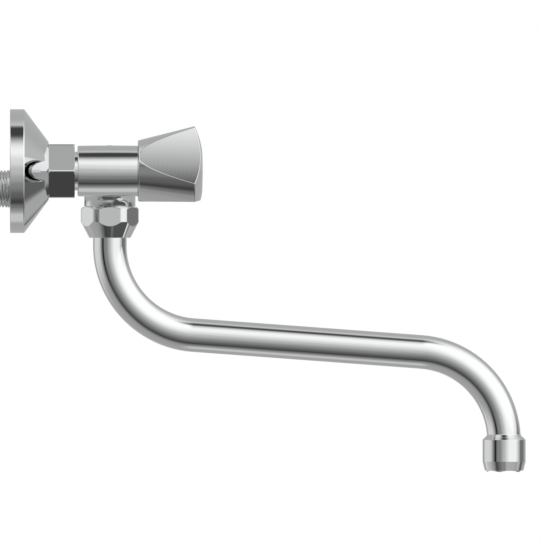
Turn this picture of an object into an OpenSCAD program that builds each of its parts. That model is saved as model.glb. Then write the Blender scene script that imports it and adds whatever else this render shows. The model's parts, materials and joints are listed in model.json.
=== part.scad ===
// Wall-mounted two-handle sink mixer with a swivelling S-shaped tube spout.
// Millimetres. The wall is the plane Y = 0, the front of the mixer faces -Y and +Z is up.
// The origin is on the wall, midway between the two wall threads.

/* [Wall connection] */
// Distance between the hot and the cold valve axes
inlet_spacing = 150; // [130:1:180]
// How far each eccentric union lifts the mixer above its wall pipe
union_lift = 10; // [6:0.5:11]
// Radius of the G1/2 wall thread
wall_thread_r = 10.48; // [9.5:0.01:11.5]
// Length of the wall thread
wall_thread_length = 18; // [12:0.5:26]
// Radius of the G3/4 thread that the union nut screws on
union_thread_r = 13.22; // [12.6:0.01:13.8]
// Outer diameter of the escutcheon
escutcheon_d = 69.2; // [64:0.2:80]
// Depth of the escutcheon's cylindrical rim
escutcheon_rim = 7.9; // [4:0.1:11]
// Depth of the whole escutcheon, wall to nut
escutcheon_depth = 21.6; // [19:0.1:28]
// Diameter of the escutcheon's small end
escutcheon_mouth_d = 32.4; // [31:0.1:38]
// Thickness of the escutcheon's shell
escutcheon_wall = 1.2; // [0.8:0.1:2]

/* [Union nuts] */
// Width across the flats of all three hexagon nuts
nut_af = 30; // [29:0.1:32]
// Length of each wall union nut
nut_length = 14.6; // [13:0.1:18]
// Visible neck between the union nut and the valve barrel
neck_gap = 1.7; // [0.8:0.1:6]
// Radius of that neck
neck_r = 10.85; // [10:0.05:11.2]

/* [Mixer body] */
// Outer diameter of the two valve barrels
barrel_d = 28.6; // [28:0.1:34]
// Length of a valve barrel
barrel_length = 33.8; // [33:0.1:44]
// Diameter of the bar that joins the barrels
bar_d = 28.4; // [26:0.1:34]
// Diameter of the outlet stub under the bar
stub_d = 28.8; // [27.6:0.1:34]
// Share of the barrel's length beyond the bar's width that lies on the wall side of the bar
swivel_set = 0.713; // [0.5:0.001:0.95]
// Height of the outlet stub's shoulder below the valve axes
stub_drop = 20; // [18:0.1:26]
// Radius of the water channel in the bar
channel_r = 5.8; // [4:0.1:6]

/* [Headpart] */
// Free radius of the valve seat
seat_r = 5; // [3.5:0.1:5.6]
// Lift of the valve piston when fully open
valve_lift = 4; // [2:0.1:5.2]
// Radius of the spindle where it turns in the bonnet
spindle_r = 4.5; // [4:0.05:5]
// Width across the flats of the bonnet's hexagon
bonnet_af = 22; // [20:0.5:24]
// Width across the flats of the piston's hexagon
piston_af = 14; // [13:0.1:14.4]

/* [Handles] */
// Diameter of the handle at its back edge
handle_back_d = 34.5; // [34:0.1:42]
// Angle by which the handle widens towards the front
handle_flare = 14.14; // [8:0.1:18]
// Length of the handle from its back edge to its front rim
handle_length = 31.8; // [30:0.1:40]
// Distance from the handle's axis to each of its three flats
handle_flat = 17.2; // [16.8:0.05:20]
// Radius of the domed front
dome_r = 66; // [56:1:120]
// Depth by which the middle of the dome is cut flat
dome_flat = 1.15; // [0.6:0.05:1.8]
// Wall thickness of the handle
handle_wall = 2; // [1.5:0.1:2.4]

/* [Spout] */
// Outer diameter of the spout tube
tube_d = 18.9; // [17.5:0.1:19]
// Wall thickness of the spout tube
tube_wall = 1.2; // [0.8:0.1:1.6]
// Swivel axis to outlet axis
spout_reach = 221.6; // [170:0.1:300]
// Centre-line radius of both bends
bend_r = 50.3; // [38:0.1:60]
// Fall of the long straight run, in degrees
spout_slope = 4.22; // [0:0.01:10]
// Straight tube showing between the spout nut and the first bend
spout_neck = 4.5; // [2:0.1:40]
// Height of the spout nut's hexagon
spout_nut_hex = 8.4; // [7:0.1:14]
// Height of the cone under that hexagon
spout_nut_cone = 8.9; // [8:0.1:12]
// Turned diameter over the spout nut's corners
spout_nut_d = 32.5; // [31:0.1:34]

/* [Aerator] */
// Outer diameter of the aerator housing
aerator_d = 24.2; // [23.8:0.1:28]
// Height of the housing's cylindrical part
aerator_barrel = 12.4; // [11.5:0.1:18]
// Height of the housing's tapered end
aerator_taper = 5.3; // [4:0.1:7]
// Diameter at the lower end of the taper
aerator_tip_d = 21.7; // [21.2:0.1:23.5]
// Number of scallops in the lower rim
scallops = 5; // [3:1:8]
// Number of jets in each ring of the flow straightener
jets = 6; // [4:1:8]

/* [Hidden] */
$fn = 96;

chrome = "gainsboro";
brass = "goldenrod";
rubber = "dimgray";
plastic = "whitesmoke";
steel = "lightslategray";
hot_red = "firebrick";
cold_blue = "royalblue";

// Clearances between pieces that run, slide or screw in each other
run = 0.08;
slide = 0.15;
face = 0.1;
// Overrun of a cutting shape past the face it cuts
over = 0.5;
hot = -1;
cold = 1;
handle_gap = 0.25;
union_chamfer = 1;
union_chamfer_depth = 0.63;

// Stations along a valve axis, measured from the wall
nut_start = escutcheon_depth;
nut_end = nut_start + nut_length;
barrel_start = nut_end + neck_gap;
barrel_end = barrel_start + barrel_length;
handle_start = barrel_end + handle_gap;
handle_rim = handle_start + handle_length;
swivel_y = barrel_start + bar_d / 2 + swivel_set * (barrel_length - bar_d);

// Wall union: the nut's lip pulls the tail's flange against the washer
nut_lip = 3;
flange_depth = 2.4;
washer_depth = 2;
washer_set = 0.2;
flange_play = 0.3;
flange_r = union_thread_r - flange_play;
flange_end = nut_end - nut_lip;
washer_end = flange_end - flange_depth;
union_end = washer_end - washer_depth;
strainer_rim_r = 10.4;
strainer_rim = 0.8;
strainer_depth = 5;
strainer_gap = 1.2;
strainer_hole_r = 1.2;
sheet = 0.5;
knee_start = 2.4;
knee_end = 9;
knee_lap = 1;
knee_wall = 1.2;
union_relief = 0.6;
union_bore_r = 8.8;
wall_bore_r = 6.5;
water_r = 7.6;
hub_length = 4.5;
hub_lip = 1.1;

// Barrel: tail thread, seat wall, chamber and headpart thread
barrel_crown = 0.15;
barrel_chamfer = 0.4;
crown_steps = 8;
tail_thread = 6.5;
tail_thread_r = 10.3;
tail_play = 0.3;
tail_groove = 1.7;
tail_groove_depth = 1.3;
tail_groove_inset = 2.6;
tail_key_af = 16.6;
tail_key_depth = 3.4;
seat_wall = 2;
seat_nozzle = 1;
seat_rim = 1.4;
seat_wall_start = barrel_start + tail_thread;
seat_wall_end = seat_wall_start + seat_wall;
seat_face = seat_wall_end + seat_nozzle;
tail_groove_start = seat_wall_start - tail_groove_inset;
headpart_thread = 9.8;
headpart_thread_start = barrel_end - headpart_thread;
headpart_thread_r = 10.48;
chamber_r = 9.6;
seal_r = 12.6;
seal_depth = 0.8;

// Hub in the middle of the bar, just larger than the bar and the outlet stub
hub_step = 0.1;
hub_r = max(bar_d, stub_d) / 2 + hub_step;
hub_shoulder = 5;

// Headpart
collar_r = 13.2;
collar_depth = 2.2;
hexagon_depth = 6.1;
bonnet_neck = 4;
bonnet_neck_r = 7.2;
collar_end = barrel_end + collar_depth;
hexagon_end = collar_end + hexagon_depth;
bonnet_end = hexagon_end + bonnet_neck;
cage_depth = 3.5;
cage_play = 0.3;
cage_start = headpart_thread_start - cage_depth;
thrust_depth = 3.2;
thrust_inset = 0.8;
thrust_end = collar_end - thrust_inset;
thrust_start = thrust_end - thrust_depth;
thrust_r = 6.4;
thread_step = 0.4;
spindle_thread_r = spindle_r + thread_step;
spline_length = 11.3;
spline_gap = 2.4;
spline_start = bonnet_end + spline_gap;
spline_end = spline_start + spline_length;
spline_r = 4;
tooth_run_in = 1;
clip_depth = 0.8;
clip_reach = 1.3;
clip_bite = 0.6;
clip_mouth = 3.6;
clip_start = bonnet_end + slide;
ring_section = 1.35;
groove_width = 1.7;
groove_pitch = 4;
groove_inset = 2.4;
first_groove = thrust_end + groove_inset;
grooves = [first_groove, first_groove + groove_pitch];
tap_washer_depth = 2;
piston_play = 0.4;
piston_floor = 3.6;
piston_lip = 1.2;
piston_start = seat_face + tap_washer_depth;
piston_end = thrust_start - valve_lift - piston_play;
spindle_start = piston_start + piston_floor + valve_lift + piston_play;
washer_r = 6;
washer_lip_r = 6.8;
washer_screw_r = 1.55;
washer_screw_head_r = 2.6;
washer_screw_head = 1.2;
washer_screw_bite = 3;
slot_width = 0.7;

// Handle
flare = tan(handle_flare);
rim_r = handle_back_d / 2 + handle_length * flare;
dome_centre = handle_rim - sqrt(dome_r * dome_r - rim_r * rim_r);
face_end = dome_centre + dome_r - dome_flat;
boss_r = 8.6;
insert_r = 6.3;
insert_flange = 1.2;
insert_flange_reach = 1.6;
insert_start = spline_start;
insert_floor = 0.5;
insert_end = spline_end + insert_floor;
screw_floor = 2;
screw_seat = insert_end + screw_floor;
front_wall = 3.6;
recess_r = 7;
recess_ledge = 0.8;
cap_depth = 2.6;
cap_proud = 0.1;
disc_depth = 0.6;
disc_gap = 0.05;
disc_start = face_end - cap_depth - disc_depth;
index_ring = 1.5;
scoop_r = 160;
scoop_tilt = 1.3;
teeth = 20;
tooth_r = 0.36;
tooth_play = 0.12;
tooth_set = spline_r + slide;
screw_head_r = 4;
screw_head_depth = 2.6;
screw_r = 2.15;
screw_bite = 7;
screw_hole_depth = 9;
cross_slot = 0.9;
cross_length = 5;
cross_depth = 2;

// Spout swivel, as heights from the valve axes
axis_z = union_lift;
nut_gap = 0.2;
nut_top = -stub_drop - nut_gap;
hex_bottom = nut_top - spout_nut_hex;
cone_bottom = hex_bottom - spout_nut_cone;
nut_tip_wall = 1.85;
nut_chamfer = 1.3;
nut_chamfer_depth = 0.9;
stub_thread = 7.3;
tube_gap = 0.3;
lip_bore_r = tube_d / 2 + tube_gap;
cone_tip_r = lip_bore_r + nut_tip_wall;
stub_thread_end = nut_top - stub_thread;
thrust_ring_top = stub_thread_end - face;
thrust_ring_depth = 2;
collar_flange_top = thrust_ring_top - thrust_ring_depth - face;
collar_flange = 2;
slip_ring_top = collar_flange_top - collar_flange - face;
slip_ring_depth = 1.8;
nut_lip_top = slip_ring_top - slip_ring_depth - face;
socket_r = 10.6;
socket_depth = 5.6;
spigot_r = socket_r - run;
spigot_bore_r = 7;
socket_top = -stub_drop + socket_depth;
spigot_play = 0.4;
spigot_top = socket_top - spigot_play;
braze_depth = 4.2;
braze_gap = 0.02;
tube_top = collar_flange_top + braze_depth;
collar_flange_r = 11.6;
spout_ring_section = 1.6;
spout_groove_width = 1.9;
spout_groove_inset = 2;
first_spout_groove = spigot_top - spout_groove_inset;
spout_groove_pitch = 3.8;
spout_grooves = [first_spout_groove, first_spout_groove - spout_groove_pitch];

// Spout tube
tube_r = tube_d / 2;
tube_bore_r = tube_r - tube_wall;
bend_draw = 0.02;
bend_lap = 0.05;
bend_start = cone_bottom - spout_neck;
bend_angle = 90 - spout_slope;
run_length = (spout_reach - 2 * bend_r * (1 - sin(spout_slope))) / cos(spout_slope);
bend_end = bend_start - 2 * bend_r * cos(spout_slope) - run_length * sin(spout_slope);

// Aerator, as heights from the valve axes
ferrule_rise = 3.7;
ferrule_top = bend_end + ferrule_rise;
ferrule_flare = 2.2;
flare_lap = 0.3;
ferrule_thread = 7.3;
ferrule_r = 10.95;
flare_gap = 0.2;
housing_top = ferrule_top - ferrule_flare - flare_gap;
housing_chamfer = 0.9;
taper_top = housing_top - housing_chamfer - aerator_barrel;
housing_bottom = taper_top - aerator_taper;
ferrule_end = housing_top - ferrule_thread;
seal_thickness = 1.5;
insert_top = ferrule_end - seal_thickness;
diffuser_depth = 1.4;
housing_bore_r = 10;
ledge_r = 9;
ledge_depth = 1;
screen_depth = 0.6;
screen_top = housing_bottom + ledge_depth + screen_depth;
insert_depth = insert_top - diffuser_depth - screen_top;
scallop_depth = 0.75;
scallop_r = 18.5;
scallop_turn = 55;
jet_r = 1;
jet_pitch = 2.85;
spray_r = 0.45;
spray_pitch = 2.4;
rings = 3;

// Puts a piece on the valve axis of one side: local Z leaves the wall, local Y is up
module on_valve(side) {
    translate([side * inlet_spacing / 2, 0, axis_z]) rotate([90, 0, 0]) children();
}

// Puts a piece on the spout's swivel axis, with heights from the valve axes
module on_swivel() {
    translate([0, -swivel_y, axis_z]) children();
}

// Puts a piece on the outlet axis, with heights from the valve axes
module on_outlet() {
    translate([0, -swivel_y - spout_reach, axis_z]) children();
}

// A cylinder from height a to height b, in either order
module rod(r, a, b) {
    translate([0, 0, min(a, b)]) cylinder(r = r, h = abs(b - a));
}

// A ring from height a to height b
module ring(outer, inner, a, b) {
    difference() {
        rod(outer, a, b);
        rod(inner, min(a, b) - over, max(a, b) + over);
    }
}

// A hexagon prism by its width across flats
module hexagon(across, a, b) {
    translate([0, 0, min(a, b)]) cylinder(r = across / 2 / cos(30), h = abs(b - a), $fn = 6);
}

// A round seal ring lying in the plane at height h
module o_ring(middle_r, section, h) {
    translate([0, 0, h]) rotate_extrude() translate([middle_r, 0]) circle(d = section, $fn = 24);
}

// Wall connection

module s_union(side) {
    color(chrome) on_valve(side) difference() {
        union() {
            translate([0, -union_lift, 0]) rod(wall_thread_r, -wall_thread_length, knee_lap);
            hull() {
                translate([0, -union_lift, 0])
                    cylinder(r = wall_thread_r + knee_wall, h = knee_start, $fn = 32);
                translate([0, 0, knee_end - knee_lap])
                    cylinder(r = union_thread_r - union_relief, h = knee_lap, $fn = 32);
            }
            rod(union_thread_r, knee_end - over, union_end);
        }
        translate([0, -union_lift, 0]) rod(wall_bore_r, -wall_thread_length - over, knee_lap + over);
        hull() {
            translate([0, -union_lift, knee_lap]) cylinder(r = wall_bore_r, h = knee_lap, $fn = 32);
            translate([0, 0, knee_end - knee_lap])
                cylinder(r = union_bore_r - union_relief, h = knee_lap + over, $fn = 32);
        }
        rod(union_bore_r, knee_end, union_end + over);
    }
}

module escutcheon(side) {
    shell = escutcheon_wall;
    rim = escutcheon_d / 2;
    mouth = escutcheon_mouth_d / 2;
    hub = union_thread_r + run;
    hub_start = escutcheon_depth - hub_length;
    cone = (rim - mouth) / (escutcheon_depth - escutcheon_rim);
    // Inner cone: the outer one moved in square to its face by the shell's thickness
    shift = shell * sqrt(1 + cone * cone);
    color(chrome) on_valve(side) rotate_extrude() polygon([
        [rim, 0], [rim, escutcheon_rim], [mouth, escutcheon_depth], [hub, escutcheon_depth],
        [hub, hub_start], [mouth - hub_lip, hub_start],
        [mouth - hub_lip, escutcheon_depth - (shift - hub_lip) / cone],
        [rim - shell, escutcheon_rim - (shift - shell) / cone], [rim - shell, 0]
    ]);
}

module union_nut(side) {
    outer = nut_af / 2 / cos(30) + face;
    color(chrome) on_valve(side) difference() {
        intersection() {
            hexagon(nut_af, nut_start, nut_end);
            rotate_extrude() polygon([
                [0, nut_start], [outer - union_chamfer, nut_start], [outer, nut_start + union_chamfer_depth],
                [outer, nut_end - union_chamfer_depth], [outer - union_chamfer, nut_end], [0, nut_end]
            ]);
        }
        rod(union_thread_r + run, nut_start - over, nut_end - nut_lip);
        rod(neck_r + slide, nut_start, nut_end + over);
    }
}

module inlet_washer(side) {
    color(rubber) on_valve(side) ring(flange_r - washer_set, strainer_rim_r + face, union_end, washer_end);
}

// Perforated thimble that hangs in the union's bore by its rim, inside the washer
module inlet_strainer(side) {
    cup_r = union_bore_r - strainer_gap;
    cup_start = union_end - strainer_depth;
    color(steel) on_valve(side) difference() {
        union() {
            rod(cup_r, cup_start, union_end + strainer_rim);
            rod(strainer_rim_r, union_end, union_end + strainer_rim);
        }
        rod(cup_r - sheet, cup_start + sheet, washer_end);
        for (turn = [0:45:315]) rotate(turn) translate([cup_r / 2, 0, 0])
            rod(strainer_hole_r, cup_start - over, cup_start + 2 * sheet);
        rod(strainer_hole_r, cup_start - over, cup_start + 2 * sheet);
    }
}

module inlet_tail(side) {
    color(chrome) on_valve(side) difference() {
        union() {
            rod(flange_r, washer_end, flange_end);
            rod(neck_r, flange_end - over, barrel_start);
            rod(tail_thread_r, barrel_start - over, seat_wall_start - tail_play);
        }
        rod(water_r, washer_end - over, seat_wall_start);
        ring(tail_thread_r + over, tail_thread_r - tail_groove_depth,
            tail_groove_start, tail_groove_start + tail_groove);
        hexagon(tail_key_af, washer_end - over, washer_end + tail_key_depth);
    }
}

module tail_o_ring(side) {
    color(rubber) on_valve(side)
        o_ring(tail_thread_r - tail_groove_depth / 2, tail_groove_depth, tail_groove_start + tail_groove / 2);
}

// Mixer body: two valve barrels, the bar between them and the outlet stub

module barrel_skin(side) {
    middle = (barrel_start + barrel_end) / 2;
    half = barrel_length / 2;
    // The barrel swells by the crown towards its middle
    side_line = [for (i = [0:crown_steps])
        let (z = barrel_start + barrel_chamfer + (barrel_length - 2 * barrel_chamfer) * i / crown_steps)
        [barrel_d / 2 - barrel_crown * pow((z - middle) / half, 2), z]];
    end_r = barrel_d / 2 - barrel_crown - barrel_chamfer;
    on_valve(side) rotate_extrude() polygon(concat(
        [[0, barrel_start], [end_r, barrel_start]],
        side_line,
        [[end_r, barrel_end], [0, barrel_end]]
    ));
}

module barrel_bores(side) {
    on_valve(side) {
        rod(tail_thread_r + run, barrel_start - over, seat_wall_start);
        rod(seat_r, seat_wall_start - over, seat_face + over);
        ring(chamber_r, seat_r + seat_rim, seat_wall_end, seat_face);
        rod(chamber_r, seat_face, headpart_thread_start + over);
        rod(headpart_thread_r + run, headpart_thread_start, barrel_end + over);
        rod(seal_r + face, barrel_end - seal_depth - face, barrel_end + over);
    }
}

module mixer_body() {
    half = inlet_spacing / 2;
    color(chrome) difference() {
        union() {
            for (side = [hot, cold]) barrel_skin(side);
            translate([-half, -swivel_y, axis_z]) rotate([0, 90, 0]) cylinder(d = bar_d, h = inlet_spacing);
            translate([0, -swivel_y, axis_z]) rotate([0, 90, 0])
                cylinder(r = hub_r, h = 2 * hub_r + hub_shoulder, center = true);
            on_swivel() {
                rod(stub_d / 2, 0, -stub_drop);
                rod(union_thread_r, -stub_drop + over, stub_thread_end);
            }
        }
        for (side = [hot, cold]) barrel_bores(side);
        translate([-half, -swivel_y, axis_z]) rotate([0, 90, 0]) cylinder(r = channel_r, h = inlet_spacing);
        on_swivel() {
            rod(water_r, 0, socket_top - over);
            rod(socket_r, socket_top, stub_thread_end - over);
        }
    }
}

// Headpart: a non-rising spindle whose left-hand thread draws the piston off its seat

module bonnet(side) {
    color(brass) on_valve(side) difference() {
        union() {
            rod(chamber_r - cage_play, cage_start, headpart_thread_start + over);
            rod(headpart_thread_r, headpart_thread_start + cage_play, barrel_end + over);
            rod(collar_r, barrel_end, collar_end);
            hexagon(bonnet_af, collar_end - over, hexagon_end);
            rod(bonnet_neck_r, hexagon_end - over, bonnet_end);
        }
        hexagon(piston_af + 2 * slide, cage_start - over, thrust_start + over);
        rod(thrust_r + slide, thrust_start, thrust_end);
        rod(spindle_r + run, thrust_end - over, bonnet_end + over);
    }
}

module bonnet_seal(side) {
    color(rubber) on_valve(side)
        ring(seal_r, headpart_thread_r + slide, barrel_end - seal_depth, barrel_end);
}

module spindle(side) {
    color(brass) on_valve(side) difference() {
        union() {
            rod(spindle_thread_r, spindle_start, thrust_start + over);
            rod(thrust_r, thrust_start + face, thrust_end - face);
            rod(spindle_r, thrust_end - over, spline_start + face);
            rod(spline_r, spline_start, spline_end);
        }
        for (h = grooves) ring(spindle_r + over, spindle_r - ring_section, h, h + groove_width);
        ring(spindle_r + over, spindle_r - clip_bite - face, clip_start - face, clip_start + clip_depth + face);
        for (i = [0:teeth - 1]) rotate(360 * i / teeth)
            translate([tooth_set, 0, 0]) rod(tooth_r, spline_start + tooth_run_in, spline_end + over);
        rod(screw_r + run, spline_end - screw_hole_depth, spline_end + over);
    }
}

module spindle_o_rings(side) {
    color(rubber) on_valve(side) for (h = grooves)
        o_ring(spindle_r - ring_section / 2, ring_section, h + groove_width / 2);
}

// Open spring ring that stops the spindle from dropping into the bonnet
module spindle_clip(side) {
    color(steel) on_valve(side) difference() {
        ring(spindle_r + clip_reach, spindle_r - clip_bite, clip_start, clip_start + clip_depth);
        translate([0, spindle_r, clip_start])
            cube([clip_mouth, 2 * spindle_r, 3 * clip_depth], center = true);
    }
}

module valve_piston(side) {
    color(brass) on_valve(side) difference() {
        union() {
            hexagon(piston_af, piston_start, piston_end);
            rod(washer_lip_r, piston_start - piston_lip, piston_start + over);
        }
        rod(washer_r + face, piston_start - tap_washer_depth, piston_start);
        rod(spindle_thread_r + run, piston_start + piston_floor, piston_end + over);
        rod(washer_screw_r + run, piston_start - over, piston_start + piston_floor + over);
    }
}

module tap_washer(side) {
    color(rubber) on_valve(side) ring(washer_r, washer_screw_r + face, seat_face, piston_start);
}

module washer_screw(side) {
    color(steel) on_valve(side) difference() {
        union() {
            rod(washer_screw_head_r, seat_face - washer_screw_head, seat_face);
            rod(washer_screw_r, seat_face - over, piston_start + washer_screw_bite);
        }
        translate([0, 0, seat_face - washer_screw_head])
            cube([3 * washer_screw_head_r, slot_width, washer_screw_head], center = true);
    }
}

// Handle: a flared cone with three flats and a domed front

module handle_form(inset, front) {
    back_r = handle_back_d / 2 - inset;
    depth = front - handle_start;
    difference() {
        intersection() {
            translate([0, 0, handle_start]) cylinder(r1 = back_r, r2 = back_r + depth * flare, h = depth);
            translate([0, 0, dome_centre]) sphere(r = dome_r - inset, $fn = 240);
        }
        // Each facet is slightly hollow and leans in towards the front
        for (turn = [30:120:270]) rotate(turn) translate([handle_flat - inset + scoop_r, 0, handle_start])
            rotate([0, -scoop_tilt, 0]) cylinder(r = scoop_r, h = 3 * depth, center = true, $fn = 480);
    }
}

module handle(side) {
    cavity_end = handle_rim - front_wall;
    color(chrome) on_valve(side) difference() {
        handle_form(0, face_end);
        difference() {
            translate([0, 0, -over]) handle_form(handle_wall, cavity_end);
            rod(boss_r, insert_start, cavity_end + over);
        }
        rod(insert_r, insert_start - over, insert_end);
        rod(screw_r + slide, insert_end - over, screw_seat + over);
        rod(recess_r - recess_ledge, screw_seat, disc_start + over);
        rod(recess_r, disc_start, face_end + over);
    }
}

// Insulating sleeve between the brass spindle and the metal handle
module handle_insert(side) {
    low = insert_start - insert_flange;
    color(plastic) on_valve(side) union() {
        difference() {
            union() {
                rod(insert_r - braze_gap, insert_start - over, insert_end);
                rod(insert_r + insert_flange_reach, low, insert_start);
            }
            rod(spindle_r + slide, low - over, insert_start + 2 * face);
            rod(spline_r + run, low - over, spline_end + face);
            rod(screw_r + slide, spline_end - over, insert_end + over);
        }
        for (i = [0:teeth - 1]) rotate(360 * i / teeth)
            translate([tooth_set, 0, 0])
                rod(tooth_r - tooth_play, spline_start + tooth_run_in + face, spline_end);
    }
}

module handle_screw(side) {
    color(steel) on_valve(side) difference() {
        union() {
            rod(screw_head_r, screw_seat, screw_seat + screw_head_depth);
            rod(screw_r, spline_end - screw_bite, screw_seat + over);
        }
        for (turn = [0, 90]) rotate(turn)
            translate([0, 0, screw_seat + screw_head_depth])
                cube([cross_slot, cross_length, cross_depth], center = true);
    }
}

// Coloured disc that shows as a ring round the cap
module index_disc(side) {
    color(side == hot ? hot_red : cold_blue) on_valve(side) difference() {
        rod(recess_r - disc_gap, disc_start, face_end);
        rod(recess_r - index_ring, face_end - cap_depth, face_end + over);
    }
}

module index_cap(side) {
    color(chrome) on_valve(side)
        rod(recess_r - index_ring - disc_gap, face_end - cap_depth, face_end + cap_proud);
}

// Spout swivel

module spout_nut() {
    corner = spout_nut_d / 2;
    color(chrome) on_swivel() difference() {
        intersection() {
            rotate(30) hexagon(nut_af, nut_top, cone_bottom);
            rotate_extrude() polygon([
                [0, nut_top], [corner - nut_chamfer, nut_top], [corner, nut_top - nut_chamfer_depth],
                [corner, hex_bottom], [cone_tip_r, cone_bottom], [0, cone_bottom]
            ]);
        }
        rod(union_thread_r + run, nut_top + over, collar_flange_top);
        rod(collar_flange_r + slide, collar_flange_top + over, nut_lip_top);
        rod(lip_bore_r, nut_lip_top + over, cone_bottom - over);
    }
}

module spout_thrust_ring() {
    color(plastic) on_swivel()
        ring(union_thread_r - face, spigot_r + slide, thrust_ring_top, thrust_ring_top - thrust_ring_depth);
}

module spout_slip_ring() {
    color(plastic) on_swivel()
        ring(collar_flange_r, tube_r + slide, slip_ring_top, slip_ring_top - slip_ring_depth);
}

module spout_collar() {
    color(brass) on_swivel() difference() {
        union() {
            rod(spigot_r, spigot_top, collar_flange_top - over);
            rod(collar_flange_r, collar_flange_top, collar_flange_top - collar_flange);
        }
        rod(spigot_bore_r, spigot_top + over, tube_top - over);
        rod(tube_r + braze_gap, tube_top, collar_flange_top - collar_flange - over);
        for (h = spout_grooves)
            ring(spigot_r + over, spigot_r - spout_ring_section, h, h - spout_groove_width);
    }
}

module spout_o_rings() {
    color(rubber) on_swivel() for (h = spout_grooves)
        o_ring(spigot_r - spout_ring_section / 2, spout_ring_section, h - spout_groove_width / 2);
}

// Spout tube: down, through the first bend, along the run, through the second bend

// A bend of radius r in the YZ plane, swept from its start through an angle
module bend(r, from, angle) {
    rotate([0, 90, 0]) rotate([0, 0, from]) rotate_extrude(angle = angle)
        translate([bend_r, 0]) circle(r = r);
}

// The tube's whole length as a solid of radius r, with its ends carried on by extra.
// Bending draws the section a hair smaller, so each straight run ends in a fine step.
module tube_path(r, extra) {
    rod(r, tube_top + extra, bend_start - bend_lap);
    translate([0, -bend_r, bend_start]) bend(r - bend_draw, 90, -bend_angle);
    translate([0, -bend_r * (1 - sin(spout_slope)), bend_start - bend_r * cos(spout_slope)])
        rotate([90 + spout_slope, 0, 0]) rod(r, -bend_lap, run_length + bend_lap);
    translate([0, -spout_reach + bend_r, bend_end]) bend(r - bend_draw, -90, -bend_angle);
    translate([0, -spout_reach, 0]) rod(r, bend_end + bend_lap, ferrule_end - extra);
}

module spout_tube() {
    color(chrome) on_swivel() difference() {
        union() {
            tube_path(tube_r, 0);
            translate([0, -spout_reach, 0]) rotate_extrude() polygon([
                [0, ferrule_top], [tube_r - flare_lap, ferrule_top], [ferrule_r, ferrule_top - ferrule_flare],
                [ferrule_r, ferrule_end], [0, ferrule_end]
            ]);
        }
        tube_path(tube_bore_r, over);
    }
}

// Aerator

module aerator_housing() {
    outer = aerator_d / 2;
    tip = aerator_tip_d / 2;
    color(chrome) on_outlet() difference() {
        rotate_extrude() polygon([
            [ferrule_r + run, housing_top], [outer - housing_chamfer, housing_top],
            [outer, housing_top - housing_chamfer], [outer, taper_top], [tip, housing_bottom],
            [ledge_r, housing_bottom], [ledge_r, housing_bottom + ledge_depth],
            [housing_bore_r, housing_bottom + ledge_depth],
            [housing_bore_r, insert_top - diffuser_depth], [ferrule_r + run, insert_top - diffuser_depth]
        ]);
        for (i = [0:scallops - 1]) rotate(scallop_turn + 360 * i / scallops)
            translate([0, 0, housing_bottom + scallop_depth - scallop_r]) rotate([0, 90, 0])
                cylinder(r = scallop_r, h = outer + over, $fn = 240);
    }
}

module aerator_seal() {
    color(rubber) on_outlet() ring(ferrule_r - face, tube_bore_r, ferrule_end, ferrule_end - seal_thickness);
}

// Perforated disc whose holes lie on rings round a middle hole
module drilled_disc(r, top, depth, hole_r, pitch) {
    difference() {
        rod(r, top, top - depth);
        rod(hole_r, top + over, top - depth - over);
        for (k = [1:rings]) for (i = [0:jets * k - 1]) rotate(360 * i / (jets * k))
            translate([pitch * k, 0, 0]) rod(hole_r, top + over, top - depth - over);
    }
}

module aerator_diffuser() {
    color(plastic) on_outlet()
        drilled_disc(ferrule_r - face, insert_top, diffuser_depth, spray_r, spray_pitch);
}

module aerator_insert() {
    color(plastic) on_outlet()
        drilled_disc(housing_bore_r - face, insert_top - diffuser_depth, insert_depth, jet_r, jet_pitch);
}

module aerator_screen() {
    color(steel) on_outlet() rod(housing_bore_r - face, screen_top, screen_top - screen_depth);
}

mixer_body();
s_union(hot);  // s_union_hot
s_union(cold);  // s_union_cold
escutcheon(hot);  // escutcheon_hot
escutcheon(cold);  // escutcheon_cold
union_nut(hot);  // union_nut_hot
union_nut(cold);  // union_nut_cold
inlet_washer(hot);  // inlet_washer_hot
inlet_washer(cold);  // inlet_washer_cold
inlet_strainer(hot);  // inlet_strainer_hot
inlet_strainer(cold);  // inlet_strainer_cold
inlet_tail(hot);  // inlet_tail_hot
inlet_tail(cold);  // inlet_tail_cold
tail_o_ring(hot);  // tail_o_ring_hot
tail_o_ring(cold);  // tail_o_ring_cold
bonnet(hot);  // bonnet_hot
bonnet(cold);  // bonnet_cold
bonnet_seal(hot);  // bonnet_seal_hot
bonnet_seal(cold);  // bonnet_seal_cold
spindle(hot);  // spindle_hot
spindle(cold);  // spindle_cold
spindle_o_rings(hot);  // spindle_o_rings_hot
spindle_o_rings(cold);  // spindle_o_rings_cold
spindle_clip(hot);  // spindle_clip_hot
spindle_clip(cold);  // spindle_clip_cold
valve_piston(hot);  // valve_piston_hot
valve_piston(cold);  // valve_piston_cold
tap_washer(hot);  // tap_washer_hot
tap_washer(cold);  // tap_washer_cold
washer_screw(hot);  // washer_screw_hot
washer_screw(cold);  // washer_screw_cold
handle(hot);  // handle_hot
handle(cold);  // handle_cold
handle_insert(hot);  // handle_insert_hot
handle_insert(cold);  // handle_insert_cold
handle_screw(hot);  // handle_screw_hot
handle_screw(cold);  // handle_screw_cold
index_disc(hot);  // index_disc_hot
index_disc(cold);  // index_disc_cold
index_cap(hot);  // index_cap_hot
index_cap(cold);  // index_cap_cold
spout_nut();
spout_thrust_ring();
spout_slip_ring();
spout_collar();
spout_o_rings();
spout_tube();
aerator_housing();
aerator_seal();
aerator_diffuser();
aerator_insert();
aerator_screen();
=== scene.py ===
# %% [markdown]
# # A wall-mounted sink mixer in polished chrome
# The mixer hangs on a wall by two threaded unions. Two screw-down valves stand side by side,
# a bar joins them, and a long tube spout swings under the bar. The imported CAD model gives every
# place and size. This script dresses it: the plated pieces are drawn again as smooth surfaces
# with rounded edges, because polished chrome shows each edge as a fine bright line.

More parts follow.
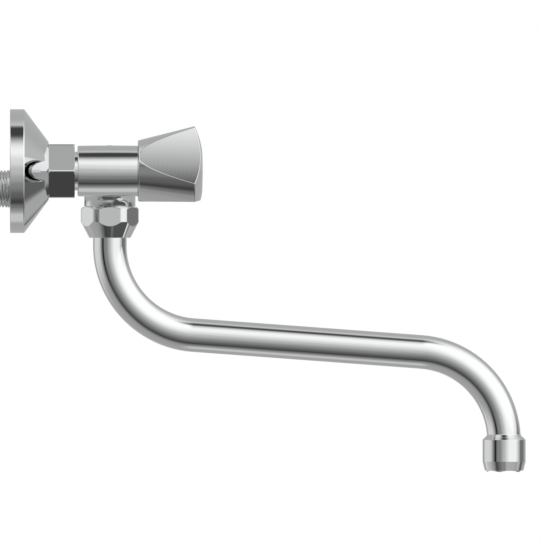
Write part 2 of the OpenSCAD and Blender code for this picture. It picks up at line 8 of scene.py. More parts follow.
# %% The frame
import json
import math
import bpy
import numpy as np
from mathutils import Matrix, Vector


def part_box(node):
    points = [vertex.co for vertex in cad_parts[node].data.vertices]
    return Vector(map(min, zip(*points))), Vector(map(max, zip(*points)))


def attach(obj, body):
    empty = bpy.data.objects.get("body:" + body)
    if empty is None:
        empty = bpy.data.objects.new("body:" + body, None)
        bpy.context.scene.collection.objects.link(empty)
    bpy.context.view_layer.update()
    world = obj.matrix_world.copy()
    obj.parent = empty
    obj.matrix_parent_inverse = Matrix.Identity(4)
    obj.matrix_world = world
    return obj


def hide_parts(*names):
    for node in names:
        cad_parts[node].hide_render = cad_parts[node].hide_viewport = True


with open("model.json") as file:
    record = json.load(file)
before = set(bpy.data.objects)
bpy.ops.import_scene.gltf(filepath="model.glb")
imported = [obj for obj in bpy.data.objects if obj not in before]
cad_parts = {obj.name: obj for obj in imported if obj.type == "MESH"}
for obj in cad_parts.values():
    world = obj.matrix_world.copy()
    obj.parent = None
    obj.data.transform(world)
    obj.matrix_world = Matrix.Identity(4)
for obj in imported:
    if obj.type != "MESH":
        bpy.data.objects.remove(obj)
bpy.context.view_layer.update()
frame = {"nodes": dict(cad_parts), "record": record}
nodes = frame["nodes"]
scene = bpy.context.scene
MM = 0.001

# %% [markdown]
# ## Sizes
# Most sizes are read from the boxes of the CAD nodes, so that a changed CAD model moves the dressed
# pieces too. A valve's pieces are turned about a line that leaves the wall, so their sizes are radii,
# and distances from the wall. The rest are small forms that a box can't tell, such as chamfers.


# %% Sizes from the frame, in millimetres
def side_of(node, axis, end):
    """One face of a CAD node's box: axis 0 to 2, end 0 low and 1 high, in millimetres."""
    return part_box(node)[end][axis] / MM


def wall_span(node):
    """Nearest and furthest distance of a node from the wall."""
    return -side_of(node, 1, 1), -side_of(node, 1, 0)


def radius(node, axis=0):
    """Half of a node's width along an axis."""
    return (side_of(node, axis, 1) - side_of(node, axis, 0)) / 2


def middle(node, axis):
    """Half of the sum of a node's two faces along an axis."""
    return (side_of(node, axis, 0) + side_of(node, axis, 1)) / 2


valve_x = {side: middle("union_nut_" + side, 0) for side in ("hot", "cold")}
axis_z = middle("union_nut_hot", 2)
barrel_start, barrel_end = wall_span("mixer_body")
handle_back = wall_span("handle_hot")[0]
swivel_y, outlet_y = middle("spout_nut", 1), middle("aerator_housing", 1)
print("valves at x", valve_x, "height", round(axis_z, 2), "barrel", barrel_start, barrel_end)

# %% [markdown]
# ## How a plated piece is drawn
# Nearly every piece of a tap is turned or milled from bar, so one way of drawing serves them all.
# An outline is a list of corners, each with a radius, a height and a rounding. The radii may
# change with the angle round the axis: that makes hexagons, scallops and the handle's facets.
# Bezier curves round the corners, and a placing function sets the rings on a straight axis or on
# a bent one, as for the spout. The shading normals are worked out from the same formulas, so a
# flat stays flat right up to its rounded edge.


# %% Outlines and rings
def nearest_flat(theta, first, count):
    """Angle from theta to the middle of the nearest of count flats, the first at angle first."""
    step = 2 * math.pi / count
    return (theta - first + step / 2) % step - step / 2


def soft_min(a, b, width):
    """Smaller of a and b, with the kink between them rounded over the given width.
    Formula: the minimum, less a quarter of width times the square of the overlap share."""
    share = np.maximum(width - np.abs(a - b), 0) / width
    return np.minimum(a, b) - share * share * width / 4


def hexagon(theta, across, first, edge=0.5):
    """Radius of a hexagon with rounded corners: half the width over the cosine of the angle to a
    flat, for the nearest flat and its neighbour, joined by soft_min."""
    off = nearest_flat(theta, first, 6)
    other = np.abs(off) - math.pi / 3
    return soft_min(across / 2 / np.cos(off), across / 2 / np.cos(other), edge)


print("a 30 mm hexagon's corners lie", round(float(hexagon(math.pi / 6, 30, 0)), 2), "mm out")


# %% Rounded rows of an outline
def length(vectors, least):
    """Lengths along the last axis, and a little more, so that none is zero."""
    return np.linalg.norm(vectors, axis=-1, keepdims=True) + least


def rings(corners, count, closed):
    """Rows of (radius, height) and their tangents. Each corner is cut back by its rounding times
    the tangent of half its turn, and a quadratic Bezier with the corner as its handle joins the
    two cuts."""
    spread = [[np.broadcast_to(value, (count,)) for value in corner[:2]] for corner in corners]
    p = np.array(spread, float).transpose(0, 2, 1)
    before, after = np.roll(p, 1, 0), np.roll(p, -1, 0)
    if not closed:
        before[0], after[-1] = 2 * p[0] - p[1], 2 * p[-1] - p[-2]
    d1, d2 = p - before, after - p
    l1, l2 = length(d1, 1e-9), length(d2, 1e-9)
    turn = np.arccos(np.clip(np.sum(d1 * d2, -1, keepdims=True) / l1 / l2, -0.999, 1))
    rounding = np.array([c[2] for c in corners])[:, None, None]
    cut = np.minimum(rounding * np.tan(turn / 2) + 1e-4, 0.46 * np.minimum(l1, l2))
    start, end = p - d1 / l1 * cut, p + d2 / l2 * cut
    rows, tangents = [], []
    for i, corner in enumerate(corners):
        if not closed and i in (0, len(corners) - 1):
            rows.append(p[i][None])
            tangents.append((d2 if i == 0 else d1)[i][None])
            continue
        t = np.linspace(0, 1, corner[3] if len(corner) > 3 else 6)[:, None, None]
        rows.append((1 - t) ** 2 * start[i] + 2 * t * (1 - t) * p[i] + t ** 2 * end[i])
        tangents.append((1 - t) * (p[i] - start[i]) + t * (end[i] - p[i]))
    along = np.concatenate(tangents)
    return np.concatenate(rows), along / length(along, 1e-12)


# %% Placing functions
def straight(origin, out, up):
    """Places rings on a straight axis: origin, plus radius times (cosine along out, sine along
    up), plus height along out cross up."""
    origin, out, up = (np.array(values, float) for values in (origin, out, up))
    axis = np.cross(out, up)

    def place(r, theta, h):
        c, s = (r * np.cos(theta))[..., None], (r * np.sin(theta))[..., None]
        return origin + c * out + s * up + h[..., None] * axis
    return place


def on_valve(side):
    """Heights are distances from the wall, and the angle runs from +X to +Z."""
    return straight((valve_x[side], 0, axis_z), (1, 0, 0), (0, 0, 1))


def upright(y):
    """Heights are world heights, on a line at x = 0 and the given y."""
    return straight((0, y, 0), (1, 0, 0), (0, 1, 0))


print("the hot valve's axis meets the wall at", on_valve("hot")(*np.zeros((3, 1)))[0].round(2))


# %% From an outline to a mesh
def turned(outline, place, angles=96, closed=True):
    """One shell: the outline's rows carried round the axis, at a number of even angles or at the
    angles given. A normal is the cross product of the way round, by a small step of the angle, and
    the way along, by a small step of the tangent."""
    theta = np.linspace(0, 2 * math.pi, angles, endpoint=False) if np.isscalar(angles) else angles
    angles, small = len(theta), 1e-4

    def placed(rows, angle):
        return place(rows[..., 0], angle, rows[..., 1])

    rows, along = rings(outline(theta), angles, closed)
    ahead, behind = (rings(outline(theta + step), angles, closed)[0] for step in (small, -small))
    way_round = placed(ahead, theta + small) - placed(behind, theta - small)
    way_along = placed(rows + small * along, theta) - placed(rows - small * along, theta)
    normals = np.cross(way_round, way_along)
    if not closed:
        normals[0], normals[-1] = normals[1].mean(0), normals[-2].mean(0)
    normals /= length(normals, 1e-20)
    count = len(rows)
    index = np.arange(count * angles).reshape(count, angles)
    if not closed:
        index[0], index[-1] = index[0, 0], index[-1, 0]
    low, high = (index, np.roll(index, -1, 0)) if closed else (index[:-1], index[1:])
    quads = np.stack([low, np.roll(low, -1, 1), np.roll(high, -1, 1), high], -1).reshape(-1, 4)
    return placed(rows, theta).reshape(-1, 3), normals.reshape(-1, 3), quads


# %% From shells to a piece
def put(name, data):
    """A new object in the scene."""
    item = bpy.data.objects.new(name, data)
    scene.collection.objects.link(item)
    return item


def make_piece(name, shells, body, slot, *replaced):
    """Joins shells into one object with the finish of its slot. The vertices in use are numbered
    afresh, and a face whose low or high pair of corners is one vertex becomes a triangle."""
    points, normals, quads = zip(*shells)
    firsts = np.cumsum([0] + [len(shell) for shell in points])
    verts, normals = np.concatenate(points) * MM, np.concatenate(normals)
    quads = np.concatenate([shell + first for shell, first in zip(quads, firsts)])
    used, renumbered = np.unique(quads, return_inverse=True)
    quads = renumbered.reshape(quads.shape)
    at_low, at_high = quads[:, 0] == quads[:, 1], quads[:, 2] == quads[:, 3]
    faces = (quads[~at_low & ~at_high].tolist() + quads[at_low][:, [0, 2, 3]].tolist()
             + quads[at_high & ~at_low][:, :3].tolist())
    mesh = bpy.data.meshes.new(name)
    mesh.from_pydata(verts[used].tolist(), [], faces)
    mesh.polygons.foreach_set("use_smooth", np.ones(len(faces), bool))
    mesh.normals_split_custom_set_from_vertices(normals[used].tolist())
    mesh.materials.append(slot_material[slot])
    piece = put(name, mesh)
    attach(piece, body)
    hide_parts(*replaced)
    print(name, len(used), "vertices", len(faces), "faces")
    return piece


# %% [markdown]
# ## Materials
# Chrome plate is a mirror that is very slightly grey. Real plate is never perfect: the metal
# under it waves a little from polishing, and wiping leaves patches that are a trace duller.
# All of that comes from noise on Object coordinates, so it stays on the piece as it moves. The
# inner pieces are brass, steel, sealing rubber and engineering plastic, each with its own grain.


# %% Material helper
patch_share, patch_detail, grain_detail, noise_roughness = 0.12, 2.0, 3.0, 0.55
patch_low, patch_high = 0.35, 0.7


def plug(tree, node, inputs):
    """Fills a node's inputs, by name or number: a socket is linked, and any other value is set."""
    for key, value in inputs.items():
        if isinstance(value, bpy.types.NodeSocket):
            tree.links.new(value, node.inputs[key])
        else:
            node.inputs[key].default_value = value


def add(tree, kind, inputs=(), **properties):
    """Adds a shader node with the given properties and inputs."""
    node = tree.nodes.new(kind)
    for key, value in properties.items():
        setattr(node, key, value)
    plug(tree, node, dict(inputs))
    return node


def finish(name, dark, light, metallic, rough, grain, bump, stretch=(1, 1, 1)):
    """A material whose colour runs between dark and light, and whose roughness runs between the
    two values of rough, by broad patches of noise. Fine noise of the given grain, in cells per
    metre, makes the relief: bump holds its strength and its depth in metres."""
    material = bpy.data.materials.new(name)
    material.use_nodes = True
    tree = material.node_tree
    coords = add(tree, "ShaderNodeTexCoord")
    mapping = add(tree, "ShaderNodeMapping", {"Vector": coords.outputs["Object"], "Scale": stretch})

    def noise(scale, detail):
        return add(tree, "ShaderNodeTexNoise", {
            "Vector": mapping.outputs["Vector"], "Scale": scale, "Detail": detail,
            "Roughness": noise_roughness}).outputs["Fac"]

    broad, fine = noise(grain * patch_share, patch_detail), noise(grain, grain_detail)
    colour = add(tree, "ShaderNodeMix", {0: broad, 6: (*dark, 1), 7: (*light, 1)}, data_type="RGBA")
    spread = add(tree, "ShaderNodeMapRange", {
        "Value": broad, "From Min": patch_low, "From Max": patch_high,
        "To Min": rough[0], "To Max": rough[1]})
    relief = add(tree, "ShaderNodeBump", {"Height": fine, "Strength": bump[0], "Distance": bump[1]})
    plug(tree, tree.nodes["Principled BSDF"], {
        "Metallic": metallic, "Base Color": colour.outputs[2],
        "Roughness": spread.outputs["Result"], "Normal": relief.outputs["Normal"]})
    return material


# %% The finishes
slot_material = {
    "chrome": finish("chrome_plate", (0.705, 0.71, 0.715), (0.73, 0.735, 0.74), 1.0,
                     (0.01, 0.03), 110, (0.012, 0.00002)),
    "brass": finish("turned_brass", (0.50, 0.34, 0.13), (0.64, 0.48, 0.225), 1.0,
                    (0.22, 0.38), 2600, (0.25, 0.00004), stretch=(1, 0.12, 1)),
    "steel": finish("stainless_steel", (0.42, 0.42, 0.43), (0.53, 0.53, 0.54), 1.0,
                    (0.2, 0.34), 3000, (0.2, 0.00003)),
    "rubber": finish("sealing_rubber", (0.018, 0.018, 0.018), (0.04, 0.04, 0.04), 0.0,
                     (0.55, 0.75), 3500, (0.35, 0.00005)),
    "plastic": finish("pale_plastic", (0.74, 0.74, 0.71), (0.86, 0.86, 0.83), 0.0,
                      (0.3, 0.42), 1800, (0.2, 0.00004)),
    "red_plastic": finish("hot_red_plastic", (0.55, 0.02, 0.015), (0.72, 0.04, 0.03), 0.0,
                          (0.16, 0.26), 1500, (0.15, 0.00003)),
    "blue_plastic": finish("cold_blue_plastic", (0.015, 0.09, 0.45), (0.03, 0.16, 0.62), 0.0,
                           (0.16, 0.26), 1500, (0.15, 0.00003))}
# The unplated inside of a casting, painted near black as painted shade in the hollow; it takes no slot of
# its own
unplated_shade_finish = finish("unplated_casting_painted_shade", (0.035, 0.035, 0.036), (0.06, 0.06, 0.06), 0.6, (0.5, 0.65),
                  2200, (0.3, 0.00005))
print("finishes:", ", ".join(sorted(slot_material)))

# %% Wire screen: two sets of bands at right angles, painted near black where both are low, as painted shade in the holes
wire_pitch, wire_edge, wire_depth, wire_strength = 0.9, (0.4, 0.6), 0.2, 0.8
# The holes between the wires are painted near black: painted shade seen through them
hole_shade_grey = 0.012
# At scale 1 the wave texture's bands repeat every tenth of pi
band_scale = math.pi / (10 * wire_pitch * MM)
wire_screen = finish("wire_screen", (0.40, 0.40, 0.41), (0.51, 0.51, 0.52), 1.0, (0.25, 0.4), 3000,
                     (0.2, 0.00003))
tree = wire_screen.node_tree
coords = add(tree, "ShaderNodeTexCoord")
waves = [add(tree, "ShaderNodeTexWave", {"Vector": coords.outputs["Object"], "Scale": band_scale},
             bands_direction=direction) for direction in ("X", "Y")]
wires = add(tree, "ShaderNodeMath", {0: waves[0].outputs["Fac"], 1: waves[1].outputs["Fac"]},
            operation="MAXIMUM")
metal = add(tree, "ShaderNodeMapRange", {
    "Value": wires.outputs[0], "From Min": wire_edge[0], "From Max": wire_edge[1]})
shader = tree.nodes["Principled BSDF"]
steel_colour = shader.inputs["Base Color"].links[0].from_socket
holes = add(tree, "ShaderNodeMix", {
    0: metal.outputs["Result"], 6: (hole_shade_grey, hole_shade_grey, hole_shade_grey, 1), 7: steel_colour},
    data_type="RGBA")
plug(tree, shader, {"Base Color": holes.outputs[2]})
plug(tree, shader.inputs["Normal"].links[0].from_node, {
    "Height": wires.outputs[0], "Strength": wire_strength, "Distance": wire_depth * MM})
print("the screen's wires lie", wire_pitch, "mm apart")

# %% Every CAD node gets the finish of its slot
for part in frame["record"]["subparts"]:
    node = nodes[part["node"]]
    node.data.materials.clear()
    node.data.materials.append(slot_material[part["material_slot"]])
for side in valve_x:
    # The headpart is plated too: it shows in the narrow gap behind the handle
    nodes["bonnet_" + side].data.materials[0] = slot_material["chrome"]
nodes["aerator_screen"].data.materials[0] = wire_screen

# %% [markdown]
# ## Wall unions
# Behind each cover a bent union screws into the wall and carries the valve ten millimetres
# higher. It is bar with a pipe thread cut on both ends. The ridge is a cosine of the height and the
# angle together, so it climbs one pitch a turn, and the bend comes from the placing function.

# %% Wall unions
thread_pitch, thread_depth, crest_margin, thread_fade, rows_a_pitch = 1.814, 1.1, 0.02, 0.9, 10
wall_end, union_end = wall_span("s_union_hot")
wall_thread_r, wall_bore_r = 10.48, 6.5
union_thread_r, union_bore_r = radius("s_union_hot"), 8.8
knee_start, knee_end, knee_r, relief_r = 2.4, 8.8, 11.68, 12.62
thread_lead, end_gap, shoulder_width, shoulder_gap = 0.9, 0.8, 0.6, 0.5
wall_thread_stop, neck_r, neck_height = -1.2, 10.08, -0.5
bend_end = 8.0


def screw_rows(theta, crest, start, end):
    """Corners of a threaded stretch. The radius is the crest less a margin and half of the depth
    times one minus the cosine of the turn, faded out over about half a pitch at both ends."""
    h = np.arange(start, end, thread_pitch / rows_a_pitch)
    fade = np.clip((h - start) / thread_fade, 0, 1) * np.clip((end - h) / thread_fade, 0, 1)
    ridge = 1 - np.cos(2 * math.pi * h[:, None] / thread_pitch - theta)
    root = crest - crest_margin - 0.5 * thread_depth * fade[:, None] * ridge
    return [(row, at, 1, 2) for row, at in zip(root, h)]


def union_outline(theta):
    """From the wall end: thread, neck, knee, shoulder and union thread, then back down the bore."""
    return ([(wall_bore_r, wall_end, 0.3), (wall_thread_r - thread_lead, wall_end, 0.2)]
            + screw_rows(theta, wall_thread_r, wall_end + end_gap, wall_thread_stop)
            + [(neck_r, neck_height, 0.2), (knee_r, 0, 0.4), (knee_r, knee_start, 4, 8),
               (relief_r, knee_end - shoulder_width, 4, 8), (relief_r, knee_end, 0.2)]
            + screw_rows(theta, union_thread_r, knee_end + shoulder_gap, union_end - end_gap)
            + [(union_thread_r - thread_lead, union_end, 0.2), (union_bore_r, union_end, 0.2),
               (union_bore_r, knee_end, 3, 8), (wall_bore_r, knee_start, 3, 8)])


def on_bend(side):
    """Like on_valve, but dropped to the wall thread before the knee, by the smooth step
    3 share^2 - 2 share^3 of the way through the bend."""
    to_valve = on_valve(side)

    def place(r, theta, h):
        share = np.clip((h - knee_start) / (bend_end - knee_start), 0, 1)
        drop = axis_z * (1 - share * share * (3 - 2 * share))
        return to_valve(r, theta, h) - drop[..., None] * np.array([0, 0, 1.0])
    return place


for side in valve_x:
    make_piece("bent_union_" + side, [turned(union_outline, on_bend(side), 96)],
               "fixed", "chrome", "s_union_" + side)

# %% [markdown]
# ## Wall covers
# Each cover is a spun and plated disc: a short cylinder against the wall, then a steep cone that
# ends at the nut. Its one visible edge, between rim and cone, is rolled rather than sharp. It is
# turned as a closed shell of 1.2 mm, hollow behind, because it is seen from the back as well.

# %% Wall covers
cover_r, cover_depth = radius("escutcheon_hot"), wall_span("escutcheon_hot")[1]
cover_rim, cover_mouth_r, cover_bore_r = 7.9, 16.2, 13.3
cover_wall, collar_wall, collar_depth = 1.2, 1.1, 4.5


def cover_outline(theta):
    """Over rim and cone to the mouth, and back inside. The inner cone's radius is less than the
    outer one's by the wall times the root of 1 + slope^2."""
    slope = (cover_r - cover_mouth_r) / (cover_depth - cover_rim)
    shift = cover_wall * math.hypot(1, slope)
    collar_r = cover_mouth_r - collar_wall
    return [(cover_r - cover_wall, 0, 0.3), (cover_r, 0, 0.35), (cover_r, cover_rim, 0.9),
            (cover_mouth_r, cover_depth, 0.3), (cover_bore_r, cover_depth, 0.2),
            (cover_bore_r, cover_depth - collar_depth, 0.2), (collar_r, cover_depth - collar_depth, 0.2),
            (collar_r, cover_depth - (shift - collar_wall) / slope, 0.5),
            (cover_r - cover_wall, cover_rim - (shift - cover_wall) / slope, 0.8)]


for side in valve_x:
    make_piece("wall_cover_" + side, [turned(cover_outline, on_valve(side), 192)],
               "fixed", "chrome", "escutcheon_" + side)

# %% [markdown]
# ## Union nuts
# Each nut is milled from hexagon bar, with a cone turned on both ends so that only the corners
# are bevelled. The radius is that of a hexagon with softened corners, and the bevel's height
# grows with how far a corner stands out beyond the cone, which draws the curved bevel line.

# %% Union nuts
nut_start, nut_end = wall_span("union_nut_hot")
nut_across = 2 * radius("union_nut_hot", 2)
bevel_cut, bevel_slope, bevel_least = 0.9, 0.63, 0.12
bevel_r = nut_across / math.sqrt(3) - bevel_cut
first_flat = math.pi / 6
nut_lip, lip_r = 3, 11.0


def union_nut_outline(theta):
    """A hexagon whose ends are cut to the cone's circle. The bevel is as high as the cut is deep
    times its slope, and a little more."""
    outer = hexagon(theta, nut_across, first_flat)
    end_r = soft_min(outer, bevel_r, 0.2)
    rise = (outer - end_r) * bevel_slope + bevel_least
    return [(cover_bore_r, nut_start, 0.15), (end_r, nut_start, 0.2), (outer, nut_start + rise, 0.35),
            (outer, nut_end - rise, 0.35), (end_r, nut_end, 0.2), (lip_r, nut_end, 0.3),
            (lip_r, nut_end - nut_lip, 0.1), (cover_bore_r, nut_end - nut_lip, 0.1)]


for side in valve_x:
    make_piece("union_nut_plated_" + side, [turned(union_nut_outline, on_valve(side), 360)],
               "fixed", "chrome", "union_nut_" + side)

# %% [markdown]
# ## Mixer body
# The body is one casting: two barrels that swell a hair towards their middle, a bar across them
# with a raised hub, and the outlet stub under the hub. Polishing has softened every edge. Each
# form is turned on its own axis, bored as in the construction, and ends inside its neighbour's
# wall, so the valve's moving pieces have their room.

# %% Mixer body
barrel_r, barrel_swell = side_of("mixer_body", 0, 1) - valve_x["cold"], 0.15
thread_bore_r, chamber_r, seat_r, seal_r, seal_depth = 10.5, 9.6, 5.0, 12.6, 0.8
tail_gap, seat_wall, thread_length = 0.1, 3, 9.8
tail_end = wall_span("inlet_tail_hot")[1] + tail_gap
seat_face, chamber_end = tail_end + seat_wall, barrel_end - thread_length
bar_r, hub_r, hub_half, hub_step, channel_r, wall_middle_r = 14.2, 14.5, 17.0, 0.6, 5.8, 12.5
stub_r, stub_wall, stub_bottom, stub_top = 14.4, 3, axis_z - 20, axis_z - 8
stub_thread_r, stub_thread_end = 13.22, axis_z - 27.5
water_r, socket_r, socket_top = 7.6, 10.6, axis_z - 14.4
saddle_low, saddle_low_spread, saddle_top, saddle_top_spread = 3.2, 2.0, 7.0, 8.0
print("barrel radius", round(barrel_r, 2), "seat at", round(seat_face, 2), "mm from the wall")


# %% The body's outlines
def barrel_outline(theta):
    """The outside swells by the square of the distance from the middle. Inside are the seal's
    recess, the headpart's thread, the chamber, the seat and the tail's bore."""
    points = [(thread_bore_r, barrel_start, 0.2), (barrel_r - barrel_swell, barrel_start, 0.45)]
    for share in (0.1, 0.3, 0.5, 0.7, 0.9):
        swell = barrel_swell * (2 * share - 1) ** 2
        points.append((barrel_r - swell, barrel_start + share * (barrel_end - barrel_start), 60, 4))
    return points + [(barrel_r - barrel_swell, barrel_end, 0.45), (seal_r, barrel_end, 0.1),
                     (seal_r, barrel_end - seal_depth, 0.1), (thread_bore_r, barrel_end - seal_depth, 0.1),
                     (thread_bore_r, chamber_end, 0.1), (chamber_r, chamber_end, 0.1),
                     (chamber_r, seat_face, 0.3), (seat_r, seat_face, 0.2), (seat_r, tail_end, 0.2),
                     (thread_bore_r, tail_end, 0.2)]


def bar_outline(theta):
    """The bar's ends lie on a cylinder in the barrel's wall: half of the spacing less the root of
    R^2 - (r sin(theta))^2."""
    square = [wall_middle_r ** 2 - (r * np.sin(theta)) ** 2 for r in (bar_r, channel_r)]
    outer, inner = (valve_x["cold"] - np.sqrt(np.maximum(s, 0)) for s in square)
    return [(channel_r, -inner, 0.1), (bar_r, -outer, 0.1), (bar_r, -hub_half - hub_step, 0.8),
            (hub_r, -hub_half, 0.6), (hub_r, hub_half, 0.6), (bar_r, hub_half + hub_step, 0.8),
            (bar_r, outer, 0.1), (channel_r, inner, 0.1)]


def stub_outline(theta):
    """The stub widens into the bar only along it, by the square of the angle's cosine, slowly at
    its lower edge and faster further up, like a saddle."""
    along = np.cos(theta) ** 2
    return [(socket_r, stub_thread_end, 0.2), (stub_thread_r, stub_thread_end, 0.4),
            (stub_thread_r, stub_bottom, 0.1), (stub_r, stub_bottom, 0.2),
            (stub_r + saddle_low_spread * along, stub_bottom + saddle_low, 9.0, 14),
            (stub_r + saddle_top_spread * along, stub_bottom + saddle_top, 0.2),
            (stub_r - stub_wall, stub_top, 0.1), (water_r, stub_top, 0.1),
            (water_r, socket_top, 0.2), (socket_r, socket_top, 0.2)]


# %% The casting
bar_place = straight((0, swivel_y, axis_z), (0, 1, 0), (0, 0, 1))
body_shells = [turned(barrel_outline, on_valve(side), 192) for side in valve_x]
body_shells += [turned(bar_outline, bar_place, 160), turned(stub_outline, upright(swivel_y), 160)]
make_piece("mixer_casting", body_shells, "fixed", "chrome", "mixer_body")

# %% [markdown]
# ## Handles
# A handle is a flared cone with three long facets that the fingers hold, and a domed front. The
# facets are hollow by a fraction of a millimetre, so they show a long gradient instead of a flat
# reflection. At each height the radius is the smaller of the cone and the three facets, with the
# kinks between them rounded. The back is open, with a thin wall and a boss for the spindle.

# %% Handle sizes
back_r, flare, rim_depth = 17.25, math.tan(math.radians(14.14)), 31.3
facet_distance, facet_hollow_r, facet_lean = 17.1, 205.0, math.tan(math.radians(1.13))
handle_wall, front_wall, facet_kink = 2.0, 3.6, 0.16
handle_rim, rim_r = handle_back + rim_depth, back_r + rim_depth * flare
dome_r, dome_cut, dome_kink = 60.0, 1.15, 0.7
dome_centre = handle_rim - math.sqrt(dome_r ** 2 - rim_r ** 2)
face_end = dome_centre + dome_r - dome_cut
recess_r, cap_depth, disc_depth, ring_width = 7.0, 2.6, 0.6, 1.5
boss_start, boss_r, boss_bore_r, boss_sunk = 14.5, 8.6, 6.3, 1
first_facet, edge_column = math.radians(30), math.radians(49)
print("the handle's rim radius is", round(rim_r, 2), "and its face", round(face_end, 2), "from the wall")


# %% The handle's dome and facets
def dome(r):
    """Height of the front at a radius: the sphere's centre plus the root of R^2 - r^2, or the flat
    middle where that is lower."""
    return soft_min(dome_centre + np.sqrt(dome_r ** 2 - np.asarray(r, float) ** 2), face_end, dome_kink)


def facet_angle(h):
    """Angle from the middle of a facet to its edge at height h: where the cone's radius r meets
    the facet, r cos(e) = reach + (r sin(e))^2 / 2R, a quadratic in cos(e)."""
    rise = h - handle_back
    r = back_r + rise * flare
    reach, k = facet_distance - rise * facet_lean, r * r / (2 * facet_hollow_r)
    return np.arccos(np.clip((np.sqrt(r * r + 4 * k * (reach + k)) - r) / (2 * k), -1, 0.9999))


def follow_edges(column, h):
    """Angle of a mesh column at height h. The columns at edge_column from a facet's middle run
    along its edge, and those between are spread evenly, so no edge crosses the mesh aslant."""
    off = nearest_flat(column, first_facet, 3)
    edge, away = facet_angle(h), np.abs(off)
    inside = away * edge / edge_column
    outside = edge + (away - edge_column) * (math.pi / 3 - edge) / (math.pi / 3 - edge_column)
    return column - off + np.sign(off) * np.where(away < edge_column, inside, outside)


def handle_radius(column, h, inset=0.0):
    """Radius of the handle's side at height h, less an inset. A facet is x = distance - lean *
    height + half of its width squared over the hollow's radius, solved for the radius."""
    rise = h - handle_back
    off = nearest_flat(follow_edges(column, h), first_facet, 3)
    side_r = back_r - inset + rise * flare + 0 * off
    reach = facet_distance - inset - rise * facet_lean
    a, b = np.sin(off) ** 2 / (2 * facet_hollow_r), np.cos(off)
    facet = 2 * reach / (b + np.sqrt(np.maximum(b * b - 4 * a * reach, 1e-6)))
    return soft_min(side_r, facet, facet_kink)


# %% The handle's outline
def handle_outline(theta):
    """From the cavity's floor to the back edge, up the side and over the dome. Side and dome
    meet where height and radius agree, which a dozen rounds of averaging find."""
    edge_h = handle_rim + 0 * theta
    for _ in range(12):
        edge_h = 0.5 * edge_h + 0.5 * dome(handle_radius(theta, edge_h))
    edge_r = handle_radius(theta, edge_h)
    cavity_end = handle_rim - front_wall
    recess_floor = face_end - cap_depth - disc_depth
    inner_back = handle_radius(theta, handle_back, handle_wall)
    points = [(0, cavity_end, 0), (handle_radius(theta, cavity_end, handle_wall), cavity_end, 1.0)]
    for share in (0.7, 0.4):
        h = handle_back + share * (cavity_end - handle_back)
        points.append((handle_radius(theta, h, handle_wall), h, 40, 3))
    points += [(inner_back, handle_back, 0.3), (handle_radius(theta, handle_back), handle_back, 0.45)]
    for share in np.linspace(0.06, 0.97, 14):
        h = handle_back + share * (edge_h - handle_back)
        points.append((handle_radius(theta, h), h, 60, 3))
    points.append((edge_r, edge_h, 0.4, 8))
    for share in (0.96, 0.85, 0.7, 0.5, 0.25):
        r = recess_r + share * (edge_r - recess_r)
        points.append((r, dome(r), 60, 3))
    return points + [(recess_r, dome(recess_r), 0.15), (recess_r, recess_floor, 0.1), (0, recess_floor, 0)]


def boss_outline(theta):
    """A plain tube that ends inside the front wall."""
    low, top = handle_back + boss_start, handle_rim - front_wall + boss_sunk
    return [(boss_bore_r, low, 0.2), (boss_r, low, 0.3), (boss_r, top, 0.1), (boss_bore_r, top, 0.1)]


def shade_hollow_inside(piece, side):
    """Plating hardly reaches into a deep hollow, so faces that look towards the axis, and the
    hollow's floor, get the unplated finish, which is painted near black: painted shade inside the hollow."""
    faces = piece.data.polygons
    centre, normal = np.empty((len(faces), 3)), np.empty((len(faces), 3))
    faces.foreach_get("center", centre.ravel())
    faces.foreach_get("normal", normal.ravel())
    out, h = centre[:, [0, 2]] / MM - (valve_x[side], axis_z), -centre[:, 1] / MM
    inward = (out * normal[:, [0, 2]]).sum(1) < -0.2 * np.linalg.norm(out, axis=1)
    deep = (h > handle_back + 0.2) & (h < handle_rim - front_wall + 0.1)
    in_hollow = deep & (inward | (normal[:, 1] > 0.9))
    # The near-black finish is painted shade inside the handle's hollow
    piece.data.materials.append(unplated_shade_finish)
    faces.foreach_set("material_index", in_hollow.astype(np.int32))
    print(in_hollow.sum(), "faces of", piece.name, "are left unplated")


# %% Both handles
# Columns every degree and a quarter, with a few more close to each edge
edges = [first_facet + k * 2 * math.pi / 3 + s * edge_column for k in range(3) for s in (-1, 1)]
edge_columns = np.add.outer(edges, np.radians([-0.6, -0.3, 0, 0.3, 0.6])).ravel() % (2 * math.pi)
even = np.linspace(0, 2 * math.pi, 288, endpoint=False)
even = even[np.abs(np.subtract.outer(even, edge_columns)).min(1) > math.radians(0.5)]
handle_columns = np.sort(np.concatenate([even, edge_columns]))
for side in valve_x:
    to_valve = on_valve(side)
    shells = [turned(handle_outline, lambda r, column, h: to_valve(r, follow_edges(column, h), h),
                     handle_columns, closed=False), turned(boss_outline, to_valve, 64)]
    piece = make_piece("faceted_handle_" + side, shells, "handle_" + side, "chrome", "handle_" + side)
    shade_hollow_inside(piece, side)

# %% [markdown]
# ## Index ring and cap
# A coloured ring tells hot from cold, and a plated button in its middle hides the screw. Both
# follow the handle's dome, and the button stands a tenth of a millimetre proud.


# %% Index ring and cap
cap_proud, cap_gap, ring_sunk, ring_lift, recess_gap = 0.1, 0.05, 0.05, 0.02, 0.06


def ring_outline(theta):
    """A flat ring on the recess's floor, whose face follows the dome a little below it."""
    inner, outer = recess_r - ring_width, recess_r - recess_gap
    low = face_end - cap_depth - disc_depth + ring_lift
    return [(inner, low, 0.05), (outer, low, 0.05), (outer, dome(outer) - ring_sunk, 0.2),
            (inner, dome(inner) - ring_sunk, 0.1)]


